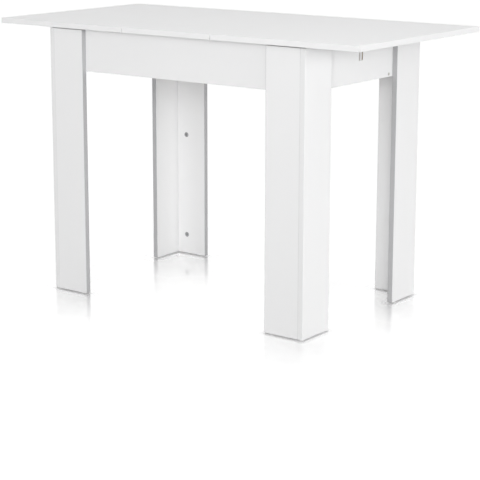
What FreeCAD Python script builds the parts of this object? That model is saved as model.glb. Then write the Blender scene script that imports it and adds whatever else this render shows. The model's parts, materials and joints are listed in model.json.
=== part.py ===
import FreeCAD, Part
import math
import os

# Extending table with L-shaped board legs, in millimetres. +X runs along the table, -Y is its
# front and +Z is up. The origin is on the floor under the middle of the top. The table is drawn
# open: its halves are pulled out and the leaf lies between them.

# ---- top ----
height = 770.0               # floor to the face of the top
top_depth = 600.0
top_thickness = 15.0
half_length = 450.0          # half of the closed top
leaf_length = 300.0          # what the leaf adds to the top
seam = 0.3                   # between neighbouring pieces of the top
leaf_rise = 4.0              # the leaf rises this much for each unit that a half closes
top_round = 1.0              # radius along the top's edges

# ---- legs and aprons ----
board = 15.0                 # thickness of the leg boards and aprons
overhang = 20.0              # closed top past the legs, all round
top_gap = 4.5                # under the top, above the legs and aprons
leg_width = 120.0            # each side of a leg's L
apron_height = 115.0
band = 1.0                   # edge band on a leg board's free edge
edge_round = 0.8             # radius along the boards' edges
glide_height = 3.0
glide_radius = 6.5
glide_chamfer = 0.8
glide_inset = 20.0           # from a leg's free edge to the middle of its glide
nail_radius = 1.2
nail_length = 12.0

# ---- extension slides ----
slide_gap = 0.3              # running clearance round a tongue, and below the top
guide_thickness = 24.0
guide_height = 46.0
groove_drop = 16.0           # top of a guide down to its groove
groove_height = 10.0
groove_depth = 10.0
guide_end_gap = 0.5
runner_width = 20.0
runner_height = 33.0
runner_setback = 11.5        # from a half's inner edge to its runners

# ---- centre beam ----
beam_height = 58.0
beam_thickness = 10.0
slot_side_gap = 5.0          # beside the beam, in the right apron's slot
slot_corner = 4.0            # radius in the slot's lower corners
housing_depth = 8.0          # of the beam's blind seat in the left apron
housing_gap = 0.3
pad_length = 40.0

# ---- battens that hold the leaf when it is put away ----
batten_width = 40.0
batten_inset = 8.0           # from the stored leaf's edge to the middle of a batten
batten_bite = 30.0           # of a batten's screws

# ---- cam joints ----
cam_radius = 7.5
cam_skin = 2.5               # board left behind a cam
cam_reach = 34.0             # middle of a cam to the joint
cam_slot = 8.0               # screwdriver cross in a cam's face
cam_slot_width = 1.4
cam_slot_depth = 2.5
bolt_head_radius = 2.8
bolt_head_length = 3.0
bolt_neck_radius = 2.0
bolt_neck_length = 7.0
bolt_shank_radius = 3.5
bolt_bore_radius = 4.0
thread_radius = 2.5
thread_skin = 4.0            # board left behind a bolt's thread
dowel_radius = 4.0
dowel_length = 30.0
dowel_skin = 5.0             # board left behind a dowel
beam_dowel_radius = 3.0
fit = 0.1                    # round cams, bolts, dowels, screws and nails, in their holes
hole_end = 0.5               # past the end of what a hole holds
few_sides = 6                # flats round dowels, bolts, screws and their holes
more_sides = 12              # flats round cams, their pockets and glides
leg_cam_low = 62.0           # lowest cam of a leg above the floor
leg_cam_drop = 54.5          # highest cam of a leg below the leg's top
leg_cam_count = 3
apron_dowel_offset = 30.0    # above and below an apron's cam

# ---- screws ----
screw_radius = 2.0
screw_head_radius = 3.75
screw_tip = 3.0
screw_skin = 5.0             # board left past a screw's tip
leg_screw_inset = 30.0       # from a leg's free edge
face_screw_low = 20.0        # lower screw above the apron's lower edge
face_screw_pitch = 40.0
side_screw_pitch = 70.0
guide_screw_count = 4
runner_screw_count = 3
runner_screw_sink = 8.0      # heads below a runner's lower face

# ---- planes that the pieces share ----
top_under = height - top_thickness
frame_top = top_under - top_gap
apron_low = frame_top - apron_height
travel = leaf_length / 2                       # of each half, from open to closed
open_half = half_length + travel
half_inner = travel + seam / 2                 # inner edge of a half, open
leg_x = half_length - overhang                 # outer faces of the legs
leg_y = top_depth / 2 - overhang
apron_x = leg_x - board                        # outer faces of the aprons
apron_y = leg_y - board
inside_x = apron_x - board                     # inner faces of the aprons
inside_y = apron_y - board
guide_top = top_under - slide_gap
guide_low = guide_top - guide_height
groove_top = guide_top - groove_drop
groove_low = groove_top - groove_height
guide_face = inside_y - guide_thickness
runner_face = guide_face - slide_gap
runner_low = top_under - runner_height
runner_in = half_inner + runner_setback
runner_out = inside_x - slide_gap              # the end apron is the runner's stop
slot_low = frame_top - beam_height
screw_bite = board - screw_skin
leg_cam_pitch = (frame_top - leg_cam_drop - leg_cam_low) / (leg_cam_count - 1)

V = FreeCAD.Vector
OUT_X = V(1, 0, 0)
OUT_Y = V(0, 1, 0)
UP = V(0, 0, 1)
QUARTERS = ((-1, -1), (1, -1), (-1, 1), (1, 1))


# ---- shapes ----
def box(x0, x1, y0, y1, z0, z1):
    """Rectangular solid between three pairs of planes."""
    return Part.makeBox(x1 - x0, y1 - y0, z1 - z0, V(x0, y0, z0))


def turned(profile, sides):
    """Solid about Z from (radius, z) points that start and end on the axis, with flat sides
    that touch the round form from outside."""
    def corner(radius, z, number):
        angle = math.tau * (number + 0.5) / sides
        reach = radius / math.cos(math.pi / sides)
        return V(reach * math.cos(angle), reach * math.sin(angle), z)

    faces = []
    for lower, upper in zip(profile, profile[1:]):
        for i in range(sides):
            points = [corner(*lower, i), corner(*lower, i + 1),
                      corner(*upper, i + 1), corner(*upper, i)]
            if lower[0] == 0:
                del points[1]
            elif upper[0] == 0:
                del points[2]
            faces.append(Part.Face(Part.makePolygon(points + points[:1])))
    return Part.makeSolid(Part.makeShell(faces)).removeSplitter()


def rod(radius, start, end, sides=few_sides):
    """Straight bar with flat sides, from one point to another."""
    way = end.sub(start)
    bar = turned([(0, 0), (radius, 0), (radius, way.Length), (0, way.Length)], sides)
    bar.Placement = FreeCAD.Placement(start, FreeCAD.Rotation(UP, way))
    return bar


def drawn(profile, x0, x1):
    """Solid with a (y, z) section, drawn out along X."""
    points = [V(x0, y, z) for y, z in profile]
    outline = Part.makePolygon(points + points[:1])
    return Part.Face(outline).extrude(V(x1 - x0, 0, 0))


def rounded(shape, radius, wanted):
    """The shape with the edges whose middle passes the test rounded."""
    edges = [edge for edge in shape.Edges if wanted(edge.CenterOfMass)]
    return shape.makeFillet(radius, edges)


def near(a, b):
    return abs(a - b) < 1e-6


def placed(shape, origin, along, out):
    """Copy of a shape drawn at the origin, its X turned along and its Z turned out."""
    copy = shape.copy()
    place = FreeCAD.Placement(origin, FreeCAD.Rotation(along, V(), out, "XZY"))
    copy.Placement = place.multiply(copy.Placement)
    return copy


def to_quarter(shape, side, back):
    """Copy of a shape of the right back quarter, mirrored to another quarter of the table."""
    copy = shape.copy()
    if side < 0:
        copy = copy.mirror(V(), OUT_X)
    if back < 0:
        copy = copy.mirror(V(), OUT_Y)
    return copy


def to_all_quarters(shapes):
    return [to_quarter(shape, side, back) for side, back in QUARTERS for shape in shapes]


def to_both_sides(shapes):
    return [to_quarter(shape, side, 1) for side in (-1, 1) for shape in shapes]


def to_front_and_back(shapes):
    return [to_quarter(shape, 1, back) for back in (-1, 1) for shape in shapes]


# ---- cam joint, drawn with the cam's face at z = 0 and the joint at x = 0 ----
def cam_disc():
    """Cam with a screwdriver cross in its face and a way in for the bolt's head."""
    deep = cam_skin - board
    disc = rod(cam_radius, V(-cam_reach, 0, deep), V(-cam_reach, 0, 0), more_sides)
    way_in = rod(bolt_head_radius + fit, V(-cam_reach - bolt_head_length, 0, -board / 2),
                 V(-cam_reach + cam_radius, 0, -board / 2))
    half = cam_slot / 2
    thin = cam_slot_width / 2
    long_cut = box(-cam_reach - half, -cam_reach + half, -thin, thin, -cam_slot_depth, 0)
    cross_cut = box(-cam_reach - thin, -cam_reach + thin, -half, half, -cam_slot_depth, 0)
    return disc.cut([way_in, long_cut, cross_cut])


def cam_bolt():
    """Bolt with its head in the cam and its thread in the other board."""
    neck = bolt_head_length
    shank = neck + bolt_neck_length
    tip = cam_reach + board - thread_skin
    bolt = turned([(0, 0), (bolt_head_radius, 0), (bolt_head_radius, neck),
                   (bolt_neck_radius, neck), (bolt_neck_radius, shank),
                   (bolt_shank_radius, shank), (bolt_shank_radius, cam_reach),
                   (thread_radius, cam_reach), (thread_radius, tip), (0, tip)], few_sides)
    bolt.Placement = FreeCAD.Placement(V(-cam_reach, 0, -board / 2),
                                       FreeCAD.Rotation(UP, OUT_X))
    return bolt


def cam_board_cuts():
    """Pocket and bore in the board that holds the cam."""
    deep = cam_skin - board - fit
    pocket = rod(cam_radius + fit, V(-cam_reach, 0, deep), V(-cam_reach, 0, 0), more_sides)
    bore = rod(bolt_bore_radius, V(-cam_reach, 0, -board / 2), V(0, 0, -board / 2))
    return [pocket, bore]


def bolt_board_cuts():
    """Hole in the board that holds the bolt's thread."""
    return [rod(thread_radius + fit, V(0, 0, -board / 2),
                V(board - thread_skin + hole_end, 0, -board / 2))]


def dowel(grow=0.0, longer=0.0):
    """Dowel across the joint, or the hole for it."""
    deep = board - dowel_skin
    return rod(dowel_radius + grow, V(deep - dowel_length - longer, 0, -board / 2),
               V(deep + longer, 0, -board / 2))


# ---- screw, drawn with its head's face at z = 0 and its tip below ----
def screw(length, grow=0.0, above=0.0):
    """Countersunk screw, or with grow and above the hole for it."""
    head = screw_head_radius + grow
    shank = screw_radius + grow
    slope = -(head - shank)
    profile = [(0, above), (head, above), (head, 0), (shank, slope),
               (shank, screw_tip - length), (0, -length)]
    if not above:
        del profile[1]
    return turned(profile, few_sides)


def screw_hole(length, above=1.0):
    return screw(length + hole_end, fit, above)


# ---- legs, all drawn in the right back quarter ----
def leg_cam_places():
    """Where the cam joints of a leg lie: along X into the side board, facing the front."""
    heights = [leg_cam_low + leg_cam_pitch * i for i in range(leg_cam_count)]
    return [(V(apron_x, apron_y, z), OUT_X, OUT_Y.negative()) for z in heights]


def leg_dowel_places():
    heights = [leg_cam_low + leg_cam_pitch * (i + 0.5) for i in range(leg_cam_count - 1)]
    return [(V(apron_x, apron_y, z), OUT_X, OUT_Y.negative()) for z in heights]


def face_screw_places():
    """Screws through the back apron into the leg's face board."""
    x = leg_x - leg_width + leg_screw_inset
    low = apron_low + face_screw_low
    return [(V(x, inside_y, z), OUT_X, OUT_Y.negative()) for z in (low, low + face_screw_pitch)]


def side_screw_places():
    """Screws through the end apron into the leg's side board."""
    y = leg_y - leg_width + leg_screw_inset
    low = apron_low + face_screw_low
    return [(V(inside_x, y, z), OUT_Y, OUT_X.negative()) for z in (low, low + side_screw_pitch)]


def glide_places():
    """Middles of a leg's glides: at both free edges and in the corner."""
    inset = leg_width - glide_inset
    mid = board / 2
    face = V(leg_x - inset, leg_y - mid, glide_height)
    side = V(leg_x - mid, leg_y - inset, glide_height)
    corner = V(leg_x - mid, leg_y - mid, glide_height)
    return [(point, OUT_X, UP) for point in (face, side, corner)]


def at_places(shape, places):
    return [placed(shape, *place) for place in places]


def leg_screw_length():
    return board + screw_bite


def leg_face_board():
    """Board that faces the back, between the side board and its own edge band."""
    blank = box(leg_x - leg_width + band, apron_x, apron_y, leg_y, glide_height, frame_top)
    cuts = []
    for cut in cam_board_cuts():
        cuts += at_places(cut, leg_cam_places())
    cuts += at_places(dowel(fit, hole_end), leg_dowel_places())
    cuts += at_places(screw_hole(leg_screw_length()), face_screw_places())
    cuts += at_places(nail_hole(), glide_places())
    return blank.cut(cuts)


def leg_side_board():
    """Board that faces the end, with the outer corner of the leg on it."""
    blank = box(apron_x, leg_x, leg_y - leg_width + band, leg_y, glide_height, frame_top)
    blank = rounded(blank, edge_round, lambda p: near(p.y, leg_y) and abs(p.z - height / 2) < board)
    cuts = []
    for cut in bolt_board_cuts():
        cuts += at_places(cut, leg_cam_places())
    cuts += at_places(dowel(fit, hole_end), leg_dowel_places())
    cuts += at_places(screw_hole(leg_screw_length()), side_screw_places())
    cuts += at_places(nail_hole(), glide_places())
    return blank.cut(cuts)


def leg_bands():
    """Edge bands on the free edges of a leg's two boards."""
    x = leg_x - leg_width
    y = leg_y - leg_width
    face = box(x, x + band, apron_y, leg_y, glide_height, frame_top)
    face = rounded(face, edge_round, lambda p: near(p.x, x) and not near(p.y, leg_y - board / 2))
    side = box(apron_x, leg_x, y, y + band, glide_height, frame_top)
    side = rounded(side, edge_round, lambda p: near(p.y, y) and not near(p.x, leg_x - board / 2))
    return [face, side]


def glide():
    """Round glide under a leg board, with its nail; the board starts at z = 0."""
    foot = glide_radius - glide_chamfer
    pad = turned([(0, -glide_height), (foot, -glide_height),
                  (glide_radius, glide_chamfer - glide_height), (glide_radius, 0), (0, 0)],
                 more_sides)
    return pad.fuse(rod(nail_radius, V(), V(0, 0, nail_length)))


def nail_hole():
    return rod(nail_radius + fit, V(0, 0, -hole_end), V(0, 0, nail_length + hole_end))


# ---- aprons ----
def corner_cam_places():
    """Cam joints between the end apron and the back apron, facing the inside."""
    z = frame_top - beam_height
    return [(V(inside_x, inside_y, z), OUT_Y, OUT_X.negative())]


def corner_dowel_places():
    middle = corner_cam_places()[0][0]
    return [(middle.add(V(0, 0, dz)), OUT_Y, OUT_X.negative())
            for dz in (-apron_dowel_offset, apron_dowel_offset)]


def guide_screw_places():
    """Screws through the back guide, below its groove."""
    length = 2 * (inside_x - guide_end_gap)
    z = (guide_low + groove_low) / 2
    steps = [(i + 0.5) / guide_screw_count - 0.5 for i in range(guide_screw_count)]
    return [(V(step * length, guide_face, z), OUT_X, OUT_Y.negative()) for step in steps]


def guide_screw_length():
    return guide_thickness + screw_bite


def lower_edges_rounded(blank):
    return rounded(blank, edge_round, lambda p: near(p.z, apron_low)
                   and (near(p.x, 0) or near(p.y, 0)))


def back_apron():
    """Long apron, inside the legs."""
    blank = box(-apron_x, apron_x, inside_y, apron_y, apron_low, frame_top)
    blank = lower_edges_rounded(blank)
    cuts = to_both_sides(at_places(screw_hole(leg_screw_length()), face_screw_places()))
    for cut in bolt_board_cuts():
        cuts += to_both_sides(at_places(cut, corner_cam_places()))
    cuts += to_both_sides(at_places(dowel(fit, hole_end), corner_dowel_places()))
    cuts += at_places(screw_hole(guide_screw_length()), guide_screw_places())
    return blank.cut(cuts)


def batten_place():
    """Screw through the end apron into the back batten."""
    return V(apron_x, leaf_length / 2 - batten_inset, apron_low + board / 2)


def batten_screw_length():
    return board + batten_bite


def batten_screws():
    screws = [placed(screw(batten_screw_length()), batten_place(), OUT_Y, OUT_X)]
    return to_all_quarters(screws)


def batten_screw_holes():
    holes = [placed(screw_hole(batten_screw_length()), batten_place(), OUT_Y, OUT_X)]
    return to_all_quarters(holes)


def end_apron():
    """Right apron, without what the beam needs in it."""
    blank = box(inside_x, apron_x, -inside_y, inside_y, apron_low, frame_top)
    blank = lower_edges_rounded(blank)
    cuts = at_places(screw_hole(leg_screw_length()), side_screw_places())
    for cut in cam_board_cuts():
        cuts += at_places(cut, corner_cam_places())
    cuts += at_places(dowel(fit, hole_end), corner_dowel_places())
    return blank.cut(to_front_and_back(cuts) + batten_screw_holes())


# ---- centre beam ----
def beam_dowel(grow=0.0, longer=0.0):
    """Upright dowel between the beam and the bottom of its slot, or the hole for it."""
    x = apron_x - board / 2
    reach = dowel_length / 2 + longer
    return rod(beam_dowel_radius + grow, V(x, 0, slot_low - reach), V(x, 0, slot_low + reach))


def beam_slot():
    """Open slot through the right apron, with round lower corners."""
    half = beam_thickness / 2 + slot_side_gap
    cut = box(inside_x - board, apron_x + board, -half, half, slot_low, frame_top + board)
    return rounded(cut, slot_corner, lambda p: near(p.z, slot_low) and not near(p.y, 0)
                   and near(p.x, inside_x + board / 2))


def beam_housing():
    """Blind seat for the beam in the left apron's inner face."""
    half = beam_thickness / 2 + housing_gap
    return box(-inside_x - housing_depth, -inside_x + board, -half, half,
               slot_low, frame_top + board)


def centre_beam():
    """Board on edge down the middle of the frame."""
    left = -inside_x - housing_depth + housing_gap
    half = beam_thickness / 2
    return box(left, apron_x, -half, half, slot_low, frame_top).cut(beam_dowel(fit, hole_end))


def beam_pads():
    """Glide pads on the beam, two under the leaf and one under each half."""
    half = beam_thickness / 2
    places = (leaf_length / 4, inside_x - 1.5 * pad_length)
    pads = [box(x - pad_length / 2, x + pad_length / 2, -half, half, frame_top, guide_top)
            for x in places]
    return to_both_sides(pads)


def back_batten():
    """Strip low in the frame, under one edge of the stored leaf."""
    y = leaf_length / 2 - batten_inset
    blank = box(-inside_x, inside_x, y - batten_width / 2, y + batten_width / 2,
                apron_low, apron_low + board)
    return blank.cut(batten_screw_holes())


# ---- slides ----
def back_guide():
    """Grooved rail inside the back apron; it stands above the apron and carries the top."""
    length = inside_x - guide_end_gap
    groove = guide_face + groove_depth
    section = [(guide_face, guide_low), (inside_y, guide_low), (inside_y, guide_top),
               (guide_face, guide_top), (guide_face, groove_top), (groove, groove_top),
               (groove, groove_low), (guide_face, groove_low)]
    holes = at_places(screw_hole(guide_screw_length()), guide_screw_places())
    return drawn(section, -length, length).cut(holes)


def runner_screw_places():
    """Screws up through the right back runner into the top."""
    length = runner_out - runner_in
    y = runner_face - runner_width / 2
    steps = [(i + 0.5) / runner_screw_count for i in range(runner_screw_count)]
    z = runner_low + runner_screw_sink
    return [(V(runner_in + step * length, y, z), OUT_X, UP.negative()) for step in steps]


def runner_screw_length():
    return top_thickness - screw_skin + runner_height - runner_screw_sink


def right_back_runner():
    """Rail under the right half, with a tongue that runs in the back guide's groove."""
    inner = runner_face - runner_width
    tip = guide_face + groove_depth - slide_gap
    tongue_low = groove_low + slide_gap
    tongue_top = groove_top - slide_gap
    section = [(inner, runner_low), (runner_face, runner_low), (runner_face, tongue_low),
               (tip, tongue_low), (tip, tongue_top), (runner_face, tongue_top),
               (runner_face, top_under), (inner, top_under)]
    holes = at_places(screw_hole(runner_screw_length(), 2 * runner_screw_sink),
                      runner_screw_places())
    return drawn(section, runner_in, runner_out).cut(holes)


# ---- top ----
def right_half():
    """Right half of the top, with round outer edges."""
    y = top_depth / 2
    blank = box(half_inner, open_half, -y, y, top_under, height)
    middle = height - top_thickness / 2
    blank = rounded(blank, top_round, lambda p: not near(p.z, middle)
                    and not near(p.x, half_inner))
    holes = at_places(screw_hole(runner_screw_length()), runner_screw_places())
    return blank.cut(to_front_and_back(holes))


def leaf():
    """Loose leaf. Its seam edges lean in below, so that it lifts clear as the halves close."""
    y = top_depth / 2
    upper = half_inner - seam
    lower = upper - top_thickness / leaf_rise
    points = [V(-lower, -y, top_under), V(lower, -y, top_under),
              V(upper, -y, height), V(-upper, -y, height)]
    outline = Part.makePolygon(points + points[:1])
    blank = Part.Face(outline).extrude(V(0, top_depth, 0))
    return rounded(blank, top_round, lambda p: near(p.x, 0) and not near(p.y, 0))


# ---- the table ----
def side_name(side):
    return "left" if side < 0 else "right"


def back_name(back):
    return "front" if back < 0 else "back"


def table():
    """Every node of the table and its shape."""
    group = Part.makeCompound
    nodes = {"top_leaf": leaf()}
    face_board = leg_face_board()
    side_board = leg_side_board()
    runner = right_back_runner()
    for side, back in QUARTERS:
        corner = back_name(back) + "_" + side_name(side)
        nodes["leg_" + corner + "_face"] = to_quarter(face_board, side, back)
        nodes["leg_" + corner + "_side"] = to_quarter(side_board, side, back)
        nodes["runner_" + corner] = to_quarter(runner, side, back)

    half = right_half()
    screws = to_front_and_back(at_places(screw(runner_screw_length()), runner_screw_places()))
    for side in (-1, 1):
        nodes["top_" + side_name(side)] = to_quarter(half, side, 1)
        on_side = [to_quarter(shape, side, 1) for shape in screws]
        nodes["runner_screws_" + side_name(side)] = group(on_side)

    apron = back_apron()
    guide = back_guide()
    batten = back_batten()
    for back in (-1, 1):
        nodes["apron_" + back_name(back)] = to_quarter(apron, 1, back)
        nodes["guide_" + back_name(back)] = to_quarter(guide, 1, back)
        nodes["batten_" + back_name(back)] = to_quarter(batten, 1, back)
    plain_end = end_apron()
    nodes["apron_right"] = plain_end.cut([beam_slot(), beam_dowel(fit, hole_end)])
    nodes["apron_left"] = to_quarter(plain_end, -1, 1).cut(beam_housing())

    nodes["centre_beam"] = centre_beam()
    nodes["beam_pads"] = group(beam_pads())
    nodes["beam_dowel"] = beam_dowel()
    nodes["leg_edge_bands"] = group(to_all_quarters(leg_bands()))
    nodes["leg_glides"] = group(to_all_quarters(at_places(glide(), glide_places())))
    nodes["leg_cams"] = group(to_all_quarters(at_places(cam_disc(), leg_cam_places())))
    nodes["leg_cam_bolts"] = group(to_all_quarters(at_places(cam_bolt(), leg_cam_places())))
    nodes["leg_dowels"] = group(to_all_quarters(at_places(dowel(), leg_dowel_places())))
    nodes["apron_cams"] = group(to_all_quarters(at_places(cam_disc(), corner_cam_places())))
    nodes["apron_cam_bolts"] = group(to_all_quarters(at_places(cam_bolt(), corner_cam_places())))
    nodes["apron_dowels"] = group(to_all_quarters(at_places(dowel(), corner_dowel_places())))
    leg_screw = screw(leg_screw_length())
    leg_screws = at_places(leg_screw, face_screw_places() + side_screw_places())
    nodes["leg_screws"] = group(to_all_quarters(leg_screws))
    guide_screws = at_places(screw(guide_screw_length()), guide_screw_places())
    nodes["guide_screws"] = group(to_front_and_back(guide_screws))
    nodes["batten_screws"] = group(batten_screws())
    return nodes


os.makedirs("parts", exist_ok=True)
for name, shape in table().items():
    shape.exportStep("parts/" + name + ".step")
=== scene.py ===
import json
import math
import random

import bmesh
import bpy
from bpy.props import FloatProperty, FloatVectorProperty, IntProperty, PointerProperty
from mathutils import Matrix, Vector

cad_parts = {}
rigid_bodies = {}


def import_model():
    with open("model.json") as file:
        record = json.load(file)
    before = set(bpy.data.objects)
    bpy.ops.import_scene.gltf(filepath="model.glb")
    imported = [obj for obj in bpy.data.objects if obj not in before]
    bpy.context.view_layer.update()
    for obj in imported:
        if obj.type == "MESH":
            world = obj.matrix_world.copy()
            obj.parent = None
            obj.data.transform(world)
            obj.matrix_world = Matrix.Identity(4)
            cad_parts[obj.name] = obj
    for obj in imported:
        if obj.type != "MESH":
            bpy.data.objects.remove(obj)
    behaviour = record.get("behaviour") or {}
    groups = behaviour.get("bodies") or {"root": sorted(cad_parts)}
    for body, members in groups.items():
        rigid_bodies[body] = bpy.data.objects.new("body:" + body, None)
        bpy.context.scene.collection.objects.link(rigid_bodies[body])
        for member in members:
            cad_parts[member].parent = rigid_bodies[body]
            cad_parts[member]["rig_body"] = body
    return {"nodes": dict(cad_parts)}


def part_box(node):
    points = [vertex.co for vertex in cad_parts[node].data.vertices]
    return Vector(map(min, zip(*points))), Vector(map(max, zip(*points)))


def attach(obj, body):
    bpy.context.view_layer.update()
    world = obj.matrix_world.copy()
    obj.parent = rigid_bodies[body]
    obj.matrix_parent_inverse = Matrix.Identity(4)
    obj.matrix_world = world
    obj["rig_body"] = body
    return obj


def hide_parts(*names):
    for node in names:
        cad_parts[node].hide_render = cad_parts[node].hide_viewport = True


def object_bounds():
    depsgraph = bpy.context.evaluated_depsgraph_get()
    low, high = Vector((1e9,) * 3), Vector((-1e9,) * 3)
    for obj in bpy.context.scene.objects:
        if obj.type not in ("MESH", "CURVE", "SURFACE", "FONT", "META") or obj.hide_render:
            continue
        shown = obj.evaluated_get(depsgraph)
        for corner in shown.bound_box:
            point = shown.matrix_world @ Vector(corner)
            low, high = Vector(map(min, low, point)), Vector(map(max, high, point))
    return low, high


bl_info = {
    "name": "Extending Table",
    "version": (1, 0, 0),
    "blender": (4, 5, 0),
    "location": "3D View > Sidebar > Table",
    "description": "Finishes and fittings of an extending table with L-shaped board legs",
    "category": "Object",
}

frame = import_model()
CAD_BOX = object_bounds()

MM = 0.001
CORNERS = ("front_left", "front_right", "back_left", "back_right")
BOARDS_THIN_X = (*(f"leg_{corner}_side" for corner in CORNERS),
                 "apron_left", "apron_right")
BOARDS_THIN_Y = (*(f"leg_{corner}_face" for corner in CORNERS),
                 "apron_front", "apron_back", "centre_beam")
TOPS = ("top_left", "top_leaf", "top_right")
RUNNERS = tuple(f"runner_{corner}" for corner in CORNERS)
SCREW_GROUPS = ("leg_screws", "guide_screws", "batten_screws",
                "runner_screws_left", "runner_screws_right")

# sides of the solids' screw holes and cam pockets, where the round fittings stand
HOLE_SIDES = 6
POCKET_SIDES = 12

# depth below a face at which a head's or cam's rim starts
SEAT = 0.02 * MM

# melamine round a board's chipboard, as shares of the board's size: on its faces, on its
# edges and past the slanted seams of the top
FACE_SKIN = 0.08
EDGE_SKIN = 0.002
SEAM_SKIN = 0.02

# stage: point that the lamps face, and the camera's sensor in millimetres and range in metres
AIM = Vector((0, 0, 0.45))
SENSOR = 36.0
FARTHEST = 200.0
WHITE = (1, 1, 1, 1)


# ---- what a user would change ----
def colour_prop(name, description, default):
    """Colour property of a finish."""
    return FloatVectorProperty(name=name, description=description, default=default,
                               subtype="COLOR", size=3, min=0.0, max=1.0)


def length_prop(name, description, default):
    """Length property, in metres."""
    return FloatProperty(name=name, description=description, default=default,
                         unit="LENGTH", min=0.0, precision=5)


def share_prop(name, description, default):
    """Property from 0 to 1."""
    return FloatProperty(name=name, description=description, default=default,
                         subtype="FACTOR", min=0.0, max=1.0)


class TableFinishes(bpy.types.PropertyGroup):
    """Colours and surface sizes of the finishes."""

    board_colour: colour_prop("Board", "White melamine on the boards", (0.87, 0.87, 0.872))
    board_roughness: share_prop("Board roughness", "Roughness of the melamine", 0.42)
    pearl_size: length_prop("Pearl size", "Size of the fine bumps in the melamine", 0.9 * MM)
    core_colour: colour_prop("Core", "Chipboard inside drilled holes", (0.50, 0.36, 0.22))
    flake_size: length_prop("Flake size", "Size of the chips in the core", 2.2 * MM)
    band_colour: colour_prop("Leg edge band", "Edge band on the leg boards", (0.47, 0.47, 0.48))
    joint_width: length_prop("Band joint", "Line between an edge band and a face", 0.15 * MM)
    band_width: length_prop("Band width", "Thickness of the top's edge band", 1.0 * MM)
    beech_colour: colour_prop("Beech", "Pale wood of rails and dowels", (0.62, 0.44, 0.27))
    beech_dark: colour_prop("Beech grain", "Darker lines in the beech", (0.45, 0.28, 0.15))
    grain_size: length_prop("Grain size", "Distance between lines of grain", 3.5 * MM)
    zinc_colour: colour_prop("Zinc", "Die-cast cams", (0.44, 0.44, 0.45))
    steel_colour: colour_prop("Steel", "Plated screws, bolts and nails", (0.60, 0.59, 0.55))
    glide_colour: colour_prop("Glide", "Plastic of the glides", (0.75, 0.75, 0.75))
    pad_colour: colour_prop("Pad", "Slippery strips on the beam", (0.80, 0.80, 0.80))


class TableFittings(bpy.types.PropertyGroup):
    """Sizes of the fittings that the solids give only roughly."""

    facets: IntProperty(name="Facets", description="Sides of a round fitting",
                        default=48, min=12, max=96)
    thread_pitch: length_prop("Thread pitch", "Screw thread, crest to crest", 1.8 * MM)
    thread_depth: length_prop("Thread depth", "Crest to root", 0.45 * MM)
    head_height: length_prop("Head height", "Height of a countersunk head", 2.0 * MM)
    screw_shank: length_prop("Screw shank", "Radius of a screw's thread", 2.0 * MM)
    recess_span: length_prop("Screw recess", "Cross recess in a screw's head", 4.4 * MM)
    recess_width: length_prop("Screw recess width", "Width of the recess's arms", 0.95 * MM)
    recess_depth: length_prop("Screw recess depth", "Depth of the cross recess", 2.0 * MM)
    rim_height: length_prop("Rim height", "How far a head's or cam's rim stands out", 0.08 * MM)
    cam_span: length_prop("Cam recess", "Cross recess in a cam's face", 9.0 * MM)
    cam_width: length_prop("Cam recess width", "Width of the recess's arms", 1.9 * MM)
    cam_depth: length_prop("Cam recess depth", "Depth of the cross recess", 3.6 * MM)
    bolt_head: length_prop("Bolt head", "Radius of a cam bolt's head", 2.8 * MM)
    bolt_neck: length_prop("Bolt neck", "Radius of a cam bolt's neck", 2.0 * MM)
    bolt_shank: length_prop("Bolt shank", "Radius of a cam bolt's shank", 3.5 * MM)
    bolt_thread: length_prop("Bolt thread", "Radius of a cam bolt's thread", 2.5 * MM)
    bolt_reach: length_prop("Bolt reach", "Tip of the head to the joint", 34.0 * MM)
    flutes: IntProperty(name="Flutes", description="Glue grooves round a dowel",
                        default=16, min=6, max=32)
    flute_depth: length_prop("Flute depth", "Depth of a dowel's grooves", 0.3 * MM)
    chamfer: length_prop("Dowel chamfer", "Chamfer at a dowel's ends", 1.2 * MM)
    glide_foot: length_prop("Glide foot", "Height of a glide's plastic foot", 3.0 * MM)
    nail_radius: length_prop("Nail radius", "Radius of a glide's nail", 1.2 * MM)


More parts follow.
